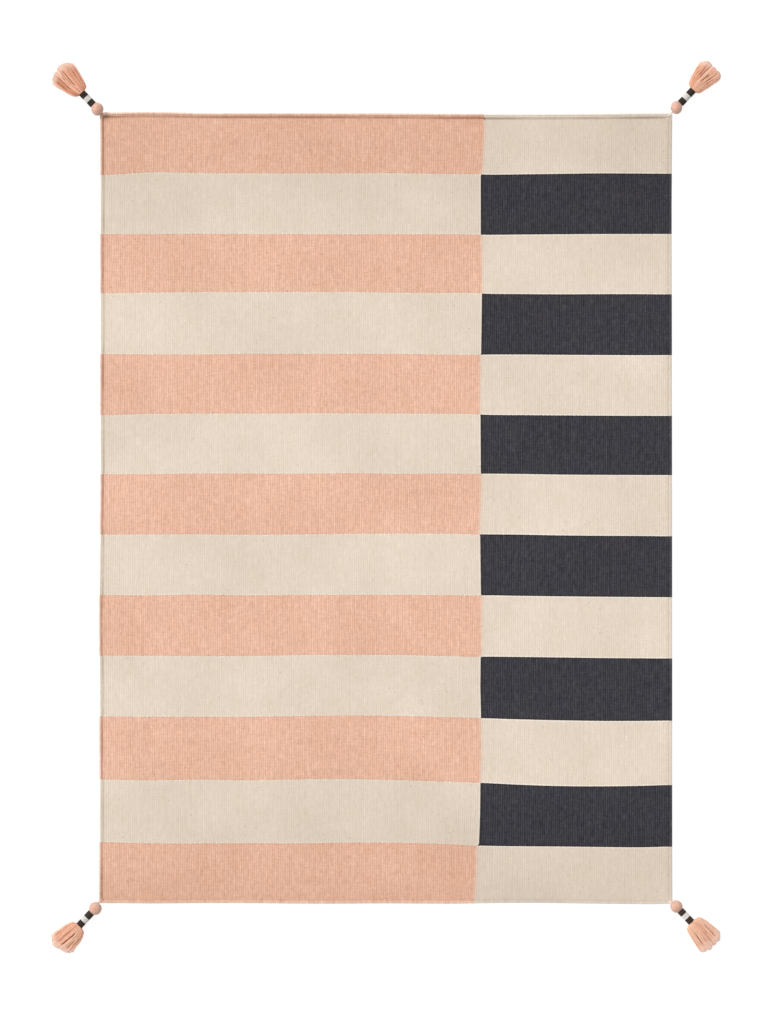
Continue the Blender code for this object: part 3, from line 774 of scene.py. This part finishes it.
def make_rug():
    rng = random.Random(11)
    columns = []
    for k in range(RIBS):
        for off in (0.0, 0.29, 0.71):
            columns.append(-RUG_WIDTH / 2 + BODY_IN + (k + off) * PITCH)
    columns.append(RUG_WIDTH / 2 - BODY_IN)
    nc = len(columns) - 1
    half_long = RUG_LENGTH / 2
    rows, coarse = [-half_long + BODY_IN], [0]
    for n in range(BANDS):
        low = -half_long + n * BAND
        if n:
            coarse.append(len(rows))
            rows += [low, low + 5.0]
        else:
            rows.append(low + 14.0)
        coarse.append(len(rows))
        rows.append(low + BAND / 2)
        rows.append(low + BAND - (5.0 if n < BANDS - 1 else 14.0))
    coarse.append(len(rows))
    rows.append(half_long - BODY_IN)
    nr = len(rows) - 1
    joints = {r for r in range(len(rows)) if abs((rows[r] + half_long) / BAND - round((rows[r] + half_long) / BAND)) < 1e-6}

    rib_high = [rng.uniform(-0.07, 0.07) for _ in range(RIBS + 1)]
    tooth = [rng.choice((0.7, 1.0, 1.3)) * (1 if k % 2 else -1) for k in range(RIBS + 1)]
    points, weave, unrolled = [], [], []

    def add(x, y, z, spread, dy=0.0, dz=0.0):
        wx, wy = woven(x, y)
        points.append((wx * MM, (wy + dy) * MM, (z + dz) * MM))
        weave.append((x * MM, y * MM))
        unrolled.append(spread)
        return len(points) - 1

    def face_height(i, j, upper):
        valley = i % 3 == 0
        rib = min(i // 3, RIBS - 1)
        x, y = columns[i], rows[j]
        edge = 0.0 if j in (0, nr) else 1.0
        soft = noise.noise(Vector((x / 9, y / 38, 5.1))) * 0.10
        if upper:
            if i in (0, nc) or j in (0, nr):
                return 4.35
            body = BODY_THICK + ripple(x, y)
            return body + (-0.54 if valley else 0.16 + rib_high[rib] + soft) * edge
        if i in (0, nc) or j in (0, nr):
            return 0.5
        return 0.55 if valley else max(0.0, 0.05 + soft * 0.6)

    top, bottom = {}, {}
    for j in range(nr + 1):
        for i in range(nc + 1):
            dy = 0.0
            if j in joints and i % 3 and 0 < i < nc:
                dy = tooth[i // 3] * (0.85 if i < 3 * JOIN_RIB else 0.15)
            x, y = columns[i], rows[j]
            top[i, j] = add(x, y, face_height(i, j, True), (x, y), dy, lifted(x, y))
    keep = set(coarse)
    for j in range(nr + 1):
        for i in range(nc + 1):
            if j in keep or i in (0, nc):
                dy = 0.0
                if j in joints and i % 3 and 0 < i < nc:
                    dy = tooth[i // 3] * (0.85 if i < 3 * JOIN_RIB else 0.15)
                x, y = columns[i], rows[j]
                bottom[i, j] = add(x, y, face_height(i, j, False), (x, y), dy, lifted(x, y))

    # The selvedge's rings, anticlockwise from the bottom left corner.
    n = CORNER_STEPS
    corner_grid = [(0, 0), (nc, 0), (nc, nr), (0, nr)]
    sides = [
        [(i, 0) for i in range(1, nc)],
        [(nc, j) for j in range(1, nr)],
        [(i, nr) for i in range(nc - 1, 0, -1)],
        [(0, j) for j in range(nr - 1, 0, -1)],
    ]

    def border(grid):
        loop = []
        for corner, side in zip(corner_grid, sides):
            loop += [grid[corner]] * (n + 1) + [grid[s] for s in side]
        return loop

    def ring(step, inset, z):
        wide, long = RUG_WIDTH / 2 - inset, RUG_LENGTH / 2 - inset
        out = step * 1.7
        loop = []
        for (cx, cy, corner, _), side, s in zip(CORNERS, sides, range(4)):
            radius = max(corner - inset, 0.0)
            turn = math.atan2(cy, cx) - math.pi / 4
            gx, gy = columns[corner_grid[s][0]], rows[corner_grid[s][1]]
            for k in range(n + 1):
                a = turn + math.pi / 2 * k / n
                x, y = cx * (wide - radius) + radius * math.cos(a), cy * (long - radius) + radius * math.sin(a)
                loop.append(add(x, y, z, (gx + out * math.cos(a), gy + out * math.sin(a)), 0.0, lifted(x, y)))
            for i, j in side:
                if s in (0, 2):
                    x, y = columns[i], cy * long if s == 0 else long
                    spread = (columns[i], rows[j] + (out if s == 2 else -out))
                    uneven = noise.noise(Vector((x / 14, s * 9.0, 0))) * 0.28
                else:
                    x, y = (wide if s == 1 else -wide), rows[j]
                    spread = (columns[i] + (out if s == 1 else -out), rows[j])
                    uneven = noise.noise(Vector((y / 23, s * 9.0, 0))) * 0.28
                share = math.sin(math.pi * min(max(z / 6.4, 0), 1) / 2)
                loop.append(add(x, y, z + uneven * share, spread, 0.0, lifted(x, y)))
        return loop

    rings = [border(top)] + [ring(k + 1, inset, z) for k, (inset, z) in enumerate(SELVEDGE)]
    faces, slots, island = [], [], []

    def face(loop, slot, part):
        distinct = []
        for p in loop:
            if p not in distinct:
                distinct.append(p)
        if len(distinct) > 2:
            faces.append(tuple(distinct))
            slots.append(slot)
            island.append(part)

    for j in range(nr):
        for i in range(nc):
            slot = block_colour((columns[i] + columns[i + 1]) / 2, (rows[j] + rows[j + 1]) / 2)
            faces.append((top[i, j], top[i + 1, j], top[i + 1, j + 1], top[i, j + 1]))
            slots.append(slot)
            island.append(0)
    for a, b in zip(coarse, coarse[1:]):
        for i in range(nc):
            slot = block_colour((columns[i] + columns[i + 1]) / 2, (rows[a] + rows[b]) / 2)
            loop = [bottom[i, a], bottom[i, b]]
            if i + 1 == nc:
                loop += [bottom[nc, j] for j in range(b, a - 1, -1)]
            else:
                loop += [bottom[i + 1, b], bottom[i + 1, a]]
            if i == 0:
                loop = [bottom[0, j] for j in range(a, b + 1)] + [bottom[1, b], bottom[1, a]]
            face(loop, slot, 1)
    all_rings = rings + [border(bottom)]
    count = len(rings[0])
    # The weave coordinates of each ring place, for its colour.
    place = []
    for corner, side in zip(corner_grid, sides):
        place += [(columns[corner[0]], rows[corner[1]])] * (n + 1)
        place += [(columns[i], rows[j]) for i, j in side]
    for low, high in zip(all_rings, all_rings[1:]):
        for k in range(count):
            m = (k + 1) % count
            x, y = (place[k][0] + place[m][0]) / 2, (place[k][1] + place[m][1]) / 2
            face((low[k], high[k], high[m], low[m]), block_colour(x, y), 0)

    mesh = bpy.data.meshes.new("rug_cloth")
    mesh.from_pydata(points, [], faces)
    loops = np.empty(len(mesh.loops), np.int32)
    mesh.loops.foreach_get("vertex_index", loops)
    layer = mesh.uv_layers.new(name="weave", do_init=False)
    layer.uv.foreach_set("vector", np.array(weave, np.float32)[loops].ravel())
    spread = np.array(unrolled, np.float64)[loops]
    sizes = np.array([len(f) for f in faces])
    part = np.repeat(np.array(island), sizes)
    reach_x, reach_y = 752.2 + 26.0, 1041.9 + 26.0
    # The underside's border lies on its own island, with the body's size.
    u = (spread[:, 0] + reach_x) / (2 * reach_x)
    v = (spread[:, 1] + reach_y) / (2 * reach_y)
    u = np.where(part == 0, 0.004 + u * 0.652, 0.664 + u * 0.332)
    v = 0.004 + v * 0.992
    # The last strip's inner side is the underside's border, which the first island holds past its outer rings.
    strip = np.zeros(len(faces), bool)
    strip[len(faces) - count :] = True
    layer = mesh.uv_layers.new(name="OFBake", do_init=False)
    inner = np.isin(loops, np.array(sorted(set(all_rings[-1])))) & (part == 0)
    out = 1.7 * (len(SELVEDGE) + 1)
    sx, sy = spread[:, 0].copy(), spread[:, 1].copy()
    push_x = np.where(np.abs(sx) > 752.1, np.sign(sx) * out, 0.0)
    push_y = np.where(np.abs(sy) > 1041.8, np.sign(sy) * out, 0.0)
    u2 = 0.004 + (sx + push_x + reach_x) / (2 * reach_x) * 0.652
    v2 = 0.004 + (sy + push_y + reach_y) / (2 * reach_y) * 0.992
    u = np.where(inner, u2, u)
    v = np.where(inner, v2, v)
    layer.uv.foreach_set("vector", np.stack([u, v], 1).astype(np.float32).ravel())
    mesh.uv_layers.active = mesh.uv_layers["OFBake"]
    for material in (PINK, CREAM, NAVY):
        mesh.materials.append(material)
    mesh.polygons.foreach_set("material_index", np.array(slots, np.int32))
    mesh.shade_smooth()
    mesh.update()
    rug = bpy.data.objects.new("rug_cloth", mesh)
    bpy.context.scene.collection.objects.link(rug)
    return stands_for(rug, "rug_weave", "rug")


# ---------------------------------------------------------------- the tassels
class Tassel:
    def __init__(self, row):
        self.name, self.x, self.y, self.rx, self.ry, aim, *self.stops = row
        self.neck_end = self.stops[-1]
        self.ball_z = BALL_RADIUS_Z - BALL_SITS
        self.u = Vector((math.cos(math.radians(aim)), math.sin(math.radians(aim))))
        self.v = Vector((-self.u.y, self.u.x))
        self.drop = (self.ball_z - NECK_END_Z) / self.neck_end
        towards = math.hypot(self.u.x / self.rx, self.u.y / self.ry)
        inner = WRAP_OUTER - WRAP_THICK
        self.core_start = 1 / towards + GAP + 0.3
        self.wrap_start = math.sqrt(1 - (inner / BALL_RADIUS_Z) ** 2) / towards + GAP + 0.6
        self.rng = random.Random(self.name)
        self.seed = sum(ord(c) * (k + 3) for k, c in enumerate(self.name)) % 97 * 1.37

    def at(self, s, v, z):
        p = Vector((self.x, self.y)) + self.u * s + self.v * v
        return Vector((p.x, p.y, z))

    def axis_z(self, s):
        return self.ball_z - self.drop * s

    def ball(self):
        """Felt, slightly uneven, drawn in where the neck and the stitches pull at it."""
        mesh = bpy.data.meshes.new(self.name + "_felt_ball")
        bm = bmesh.new()
        bmesh.ops.create_icosphere(bm, subdivisions=5, radius=1.0)
        corner = Vector((math.copysign(1, -self.x), math.copysign(1, -self.y), -0.25)).normalized()
        neck = Vector((self.u.x, self.u.y, -0.05)).normalized()
        for p in bm.verts:
            n = p.co.normalized()
            k = 1 + 0.016 * noise.noise(n * 2.1 + Vector((self.seed, 0, 0)))
            k += 0.010 * noise.noise(n * 7 + Vector((0, self.seed, 0)))
            k += 0.006 * noise.noise(n * 24) + 0.004 * noise.noise(n * 55)
            k -= 0.055 * smooth((n.dot(neck) - 0.90) / 0.10)
            k -= 0.05 * smooth((n.dot(corner) - 0.93) / 0.07)
            k -= 0.008
            z = self.ball_z + BALL_RADIUS_Z * n.z * k
            low = 0.9
            if z < low:
                z = low - (1 - math.exp(-(low - z) / low)) * low
            p.co = (
                (self.x + self.rx * n.x * k) * MM,
                (self.y + self.ry * n.y * k) * MM,
                max(z, 0.0) * MM,
            )
        bm.to_mesh(mesh)
        bm.free()
        mesh.materials.append(BALL)
        mesh.shade_smooth()
        made = bpy.data.objects.new(self.name + "_felt_ball", mesh)
        bpy.context.scene.collection.objects.link(made)
        return stands_for(made, "ball_wool", self.name + "_ball")

    def ball_fibres(self):
        """Short stray fibres that lie along the felt."""
        build = Build()
        for k in range(260):
            z = self.rng.uniform(-0.5, 1)
            a = self.rng.uniform(0, 2 * math.pi)
            n = Vector((math.sqrt(1 - z * z) * math.cos(a), math.sqrt(1 - z * z) * math.sin(a), z))
            way = n.cross(Vector((self.rng.gauss(0, 1), self.rng.gauss(0, 1), self.rng.gauss(0, 1)))).normalized()
            bend = n.cross(way)
            long = self.rng.uniform(0.12, 0.30)
            curl = self.rng.uniform(-0.09, 0.09)
            rise = self.rng.uniform(0.0, 0.035)
            path = []
            for t in (0, 0.25, 0.5, 0.75, 1):
                d = (n + way * long * (t - 0.5) + bend * curl * math.sin(t * math.pi)).normalized()
                k2 = 0.985 + rise * t
                path.append((self.x + self.rx * d.x * k2, self.y + self.ry * d.y * k2, max(self.ball_z + BALL_RADIUS_Z * d.z * k2, 0.3)))
            build.tube(path, (0.06, 0.07, 0.07, 0.06, 0.03), sides=4, own=self.rng.random())
        made = build.piece(self.name + "_ball_fibres", STITCH_PINK)
        return stands_for(made, "ball_wool")

    def wraps(self):
        start = self.wrap_start
        for name, stop, tone in zip(WRAPS, self.stops, WRAP_TONES[self.name]):
            end = stop - GAP
            build = Build()
            thick = 0.74
            turns = round((end - start) / (2 * thick * 0.80))
            steps = 30
            total = (turns + 1) * steps
            tuck = steps // 2
            shift = self.rng.uniform(0, 2 * math.pi)
            path, radii = [], []
            for i in range(total + 1):
                phi = shift + 2 * math.pi * i / steps
                share_of = min(max((i - steps - tuck) / (total - 2 * steps - 2 * tuck), 0.0), 1.0)
                s = start - 0.05 + thick + (end + 0.10 - start - 2 * thick) * share_of
                s += 0.06 * math.sin(phi + 2 * math.sin(share_of * 9 + shift)) * math.sin(math.pi * share_of)
                radial = WRAP_OUTER - thick - 0.04 - (1 - smooth(min(i, total - i) / tuck)) * thick * 1.6
                radial += 0.05 * noise.noise(Vector((i / 7, self.seed, 0)))
                path.append(self.at(s, radial * math.cos(phi), self.axis_z(s) + radial * math.sin(phi)))
                radii.append(thick * (0.97 + 0.05 * noise.noise(Vector((i / 11, self.seed + 5, 2)))))
            build.tube(path, radii, sides=8, own=tone + self.rng.uniform(-0.04, 0.04))
            pale = name == "wrap_middle"
            made = build.piece(f"{self.name}_{name}_yarn", PALE if pale else DARK)
            stands_for(made, "pale_wrap" if pale else "dark_wrap", f"{self.name}_{name}")
            start = stop

    def skirt(self):
        *widths, reach = CUT_END[self.name]
        cut = list(zip(ACROSS, reach))
        start = self.neck_end + GAP
        rng = self.rng
        build = Build()

        # The bound core, from the ball to under the last wrap, as plied strands in the dark wraps' colour, painted
        # shade where it shows between the wraps.
        for k in range(7):
            a0 = 2 * math.pi * k / 6
            r0 = 0.0 if k == 6 else 3.9
            path = []
            for i in range(26):
                s = self.core_start - 1.2 + (self.neck_end + 1.0 - self.core_start) * i / 25
                a = a0 + s * 0.05
                path.append(self.at(s, r0 * math.cos(a), self.axis_z(s) + r0 * math.sin(a)))
            build.tube(path, 2.5, sides=10, own=rng.random(), twist=1 / 11, ply=0.1, slot=2, shares=[0.3] * 26)

        # The yarns hang in locks that part from each other, with notches between their cut ends.
        notches, partings, shade = NOTCHES[self.name], PARTINGS[self.name], TONES[self.name]
        locks = [-1.0]
        while locks[-1] < 0.9:
            locks.append(locks[-1] + rng.uniform(0.09, 0.20))
        locks = [(c, rng.uniform(-1, 1), rng.uniform(-0.018, 0.018)) for c in locks]
        layers = [
            # how many, height share in the bundle, spread of it, how far out, how far they part
            (60, 1.0, 0.05, 0.995, 1.0),
            (38, 0.76, 0.08, 0.985, 0.25),
            (26, 0.42, 0.12, 0.975, 0.2),
            (30, 0.0, 0.03, 0.985, 0.6),
        ]
        for count, high, loose, outer, parted in layers:
            for k in range(count):
                c0 = -outer + 2 * outer * (k + rng.uniform(0.15, 0.85)) / count
                lock, tone, bend = min(locks, key=lambda one: abs(c0 - one[0]))
                own_high = min(max(high + rng.uniform(-loose, loose), 0.0), 1.0)
                end = smooth_row(cut, c0, 1) + 1.2 + rng.uniform(-1.2, 0.5)
                end -= sum(deep * math.exp(-(((c0 - c) / wide) ** 2)) for c, wide, deep in notches)
                faded = 1.0
                if self.name == "tassel_tr":  # longer and paler at one side's ends than at the other's
                    end += 2.5 * smooth((c0 - 0.3) / 0.3)
                    faded = 0.86 + 0.14 * smooth((c0 - 0.1) / 0.3)
                waves = [(rng.uniform(0.15, 0.5), rng.uniform(22, 46), rng.uniform(0, 6.3)) for _ in range(2)]
                stray = rng.uniform(-0.022, 0.022) + (rng.uniform(-0.07, 0.07) if rng.random() < 0.12 else 0)
                size = rng.uniform(1.01, 1.20)
                # Yarns inside the bundle, neither at its top nor at its bottom, take the deeper colour: painted shade.
                own = 0.5 + shade + 0.34 * tone + rng.uniform(-0.24, 0.24) - (0.45 if 0.2 < high < 0.9 else 0)
                own += 0.3 * smooth((abs(c0) - 0.82) / 0.16)  # the outermost yarns are fuzzier, so paler
                own = min(max(own, 0.0), 1.0)
                path, radii, shares = [], [], []
                for i in range(3):  # out of the bound core
                    s = self.neck_end - 5.0 + i * 2.0
                    path.append(self.at(s, c0 * 4.6, self.axis_z(s) + (own_high * 2 - 1) * 4.4 * math.sqrt(max(0, 1 - c0 * c0))))
                    radii.append(size * 0.5)
                    shares.append(0.0)
                steps = 44
                for i in range(steps + 1):
                    along = (i / steps) ** 1.2
                    s = start + along * (end - start)
                    sway = smooth((along - 0.1) / 0.3)
                    c1 = c0 + (lock - c0) * 0.16 * sway * (1 - along) + bend * along**2 + stray * along**1.5
                    sunk = 0.0
                    for top, foot, begin, stop, deep in partings:
                        mid = (top + foot) / 2
                        here = top + (foot - top) * min(max((along - begin) / (stop - begin), -0.5), 1.5)
                        beside = math.exp(-(((c0 - mid) / 0.30) ** 2))
                        c1 += (here - mid) * beside * sway
                        open_here = smooth((along - begin + 0.05) / 0.14) * (1 - smooth((along - stop + 0.05) / 0.12))
                        near = math.exp(-(((c0 - mid) / 0.11) ** 2)) * open_here * deep * parted
                        c1 += math.copysign(0.066, c0 - mid) * near
                        sunk += 1.3 * math.exp(-(((c0 - mid) / 0.09) ** 2)) * open_here * deep * parted
                    c1 = min(max(c1, -1.0), 1.0)
                    at = min(along, 1.0)
                    upper, lower = (smooth_row(FAN, at, q) for q in (2, 3))
                    r = size * (0.6 + 0.4 * smooth(along / 0.14)) * (1 + 0.45 * smooth((along - 0.62) / 0.3))
                    v = fan_width(at, c1, *widths) - c1 * r * 0.7
                    dome = math.sqrt(max(0.0, 1 - abs(c1) ** 2.6))
                    middle = (upper + lower) / 2
                    roof = middle + (upper - middle) * dome - r
                    floor = max(middle - (middle - lower) * min(1.0, dome * 1.5), lower) + r
                    roof = max(roof, floor)
                    z = floor + (roof - floor) * own_high
                    if own_high > 0.2:
                        z += (0.7 * tone * sway * (1 - 0.8 * smooth((along - 0.6) / 0.3)) - sunk) * (0.4 + 0.6 * own_high)
                    near = smooth(along / 0.15)
                    for amount, length, phase in waves[:1]:
                        v += near * amount * math.sin(2 * math.pi * s / length + phase)
                    for amount, length, phase in waves[1:]:
                        z += near * 0.6 * amount * math.sin(2 * math.pi * s / length + phase)
                    z = max(z, r * 0.98)
                    path.append(self.at(s, v, z))
                    last = (steps - i) / 2
                    radii.append(r * (1.0 if last > 1 else 0.62 + 0.38 * last))
                    shares.append(along * faded)
                build.tube(path, radii, sides=8, own=own, twist=1 / 18, ply=0.045, flat=0.0, shares=shares)

        # What shows between them: the bundle's inner yarns, as one body well inside it, in a deeper colour that is
        # painted shade.
        first = len(build.points)
        around = 24
        filler = [(0.0, 0.7), (0.04, 0.70), (0.09, 0.74), (0.2, 0.78), (0.4, 0.80), (0.6, 0.80), (0.78, 0.78), (0.92, 0.74)]
        for row, (along, share) in enumerate(filler):
            upper, lower = (smooth_row(FAN, along, q) for q in (2, 3))
            for k in range(around):
                a = 2 * math.pi * k / around
                across = math.cos(a)
                end = smooth_row(cut, across, 1)
                middle = (upper + lower) / 2
                half = max((upper - lower) / 2 - 3.6, 1.0)
                v = fan_width(along, across, *widths) * share
                z = max(middle + half * math.sin(a) * share, 0.6)
                build.points.append(tuple(self.at(start + along * (end - start), v, z) * MM))
                build.yarn.append((along * 0.09, across * 6))
                build.strand.append((0.37, along))
        for row in range(len(filler) - 1):
            for k in range(around):
                a, b = first + row * around + k, first + row * around + (k + 1) % around
                build.faces.append((a, b, b + around, a + around))
                build.slots.append(1)
        build.faces.append(tuple(range(first + around - 1, first - 1, -1)))
        build.slots.append(1)
        last = first + (len(filler) - 1) * around
        build.faces.append(tuple(range(last, last + around)))
        build.slots.append(1)
        made = build.piece(self.name + "_skirt_yarns", SKIRT, SKIRT_INSIDE_SHADE, DARK)
        return stands_for(made, "skirt_yarn", self.name + "_skirt")

    def stitches(self):
        """Yarn that sews the ball to the rug's corner."""
        cx, cy = math.copysign(1, self.x), math.copysign(1, self.y)
        corner = woven(cx * RUG_WIDTH / 2, cy * RUG_LENGTH / 2)
        lift = next(c[3] for c in CORNERS if (c[0], c[1]) == (cx, cy))
        out = (Vector((self.x, self.y)) - Vector(corner)).normalized()
        flank = Vector((-out.y, out.x))
        build = Build()
        for k, (side, back) in enumerate(((-1.7, 12.5), (0.0, 14.5), (1.7, 12.0))):
            side += self.rng.uniform(-0.3, 0.3)
            base = Vector(corner) - Vector((cx, cy)) * 2.0
            inner = Vector(corner) - Vector((cx, cy)).normalized() * back + flank * side * 1.2
            over = base + flank * side
            reach = Vector((self.x, self.y)) - out * 9.0 + flank * side * 0.5
            stops = [
                (inner, 4.0 + lift * 0.75),
                (inner * 0.86 + over * 0.14, 5.9 + lift * 0.78),
                (inner * 0.5 + over * 0.5, 6.7 + lift * 0.86),
                (over, 7.2 + lift * 0.97),
                (over * 0.5 + reach * 0.5, 8.4 + lift * 0.9),
                (reach, 10.2 + lift * 0.6),
            ]
            path = []
            for i in range(31):
                t = i / 30 * (len(stops) - 1)
                n = min(int(t), len(stops) - 2)
                f = t - n
                rows = [(q, p.x, p.y, z) for q, (p, z) in enumerate(stops)]
                path.append(tuple(smooth_row(rows, t, c) for c in (1, 2, 3)))
            build.tube(path, 0.92, sides=8, own=self.rng.random(), twist=1 / 7, ply=0.10)
        pink = cx < 0
        made = build.piece(self.name + "_stitches", STITCH_PINK if pink else STITCH_CREAM)
        return stands_for(made, "rug_weave")


# The bundle's inner yarns, deeper in colour than the skirt's: painted shade.
SKIRT_INSIDE_SHADE = yarn_material(
    "skirt_inside_painted_shade",
    under_light(222, 150, 114),
    under_light(228, 160, 124),
    under_light(202, 128, 94),
)


def make_knot():
    """The end of the weaver's yarn, tied off where the two columns start."""
    build = Build()
    x, y = woven(JOIN_X, RUG_LENGTH / 2 - 12.5)
    path = []
    for i in range(25):
        a = 2 * math.pi * i / 24 * 1.9
        r = 1.35 - 0.3 * i / 24
        path.append((x + 0.3 + r * math.cos(a), y + r * 0.8 * math.sin(a), 4.9 + 1.1 * i / 24))
    path.append((x + 1.6, y - 2.4, 5.3))
    path.append((x + 1.9, y - 4.4, 5.1))
    build.tube(path, 0.62, sides=8, twist=1 / 3, ply=0.1, own=0.4)
    return stands_for(build.piece("join_knot", KNOT), "rug_weave")


rug = make_rug()
pieces = [make_knot()]
for row in TASSELS:
    tassel = Tassel(row)
    tassel.ball()
    tassel.ball_fibres()
    tassel.wraps()
    tassel.skirt()
    pieces.append(tassel.stitches())


# ---------------------------------------------------------------- floor, light and camera
def plain_floor():
    mesh = bpy.data.meshes.new("floor")
    size = 40.0
    mesh.from_pydata([(-size, -size, 0), (size, -size, 0), (size, size, 0), (-size, size, 0)], [], [(0, 1, 2, 3)])
    m = Shade("pale_floor", roughness=1.0, sheen=0.0, specular=0.0)
    m.shader.inputs["Base Color"].default_value = (0.28, 0.28, 0.28, 1.0)
    m.shader.inputs["Emission Color"].default_value = (1.0, 1.0, 1.0, 1.0)
    m.shader.inputs["Emission Strength"].default_value = 0.84
    mesh.materials.append(m.material)
    floor = bpy.data.objects.new("floor", mesh)
    floor.location.z = -0.0004
    bpy.context.scene.collection.objects.link(floor)


def light():
    world = bpy.data.worlds.new("studio")
    bpy.context.scene.world = world
    world.use_nodes = True
    world.node_tree.nodes["Background"].inputs[0].default_value = (1.0, 1.0, 1.0, 1.0)
    world.node_tree.nodes["Background"].inputs[1].default_value = 0.62
    lamp = bpy.data.lights.new("key", "SUN")
    lamp.energy = 2.6
    lamp.angle = math.radians(24)
    lamp.color = (1.0, 0.99, 0.975)
    key = bpy.data.objects.new("key", lamp)
    towards = Vector((-0.70, 0.52, 0.80)).normalized()
    key.rotation_euler = towards.to_track_quat("Z", "Y").to_euler()
    bpy.context.scene.collection.objects.link(key)


def camera():
    data = bpy.data.cameras.new("camera")
    data.lens = 200.0
    data.sensor_width = 36.0
    data.clip_end = 200.0
    eye = bpy.data.objects.new("camera", data)
    eye.location = (-0.0045, -0.0101, 2.7245 * 200.0 / 36.0)
    bpy.context.scene.collection.objects.link(eye)
    bpy.context.scene.camera = eye


plain_floor()
light()
camera()
bpy.context.scene.view_settings.view_transform = "Standard"
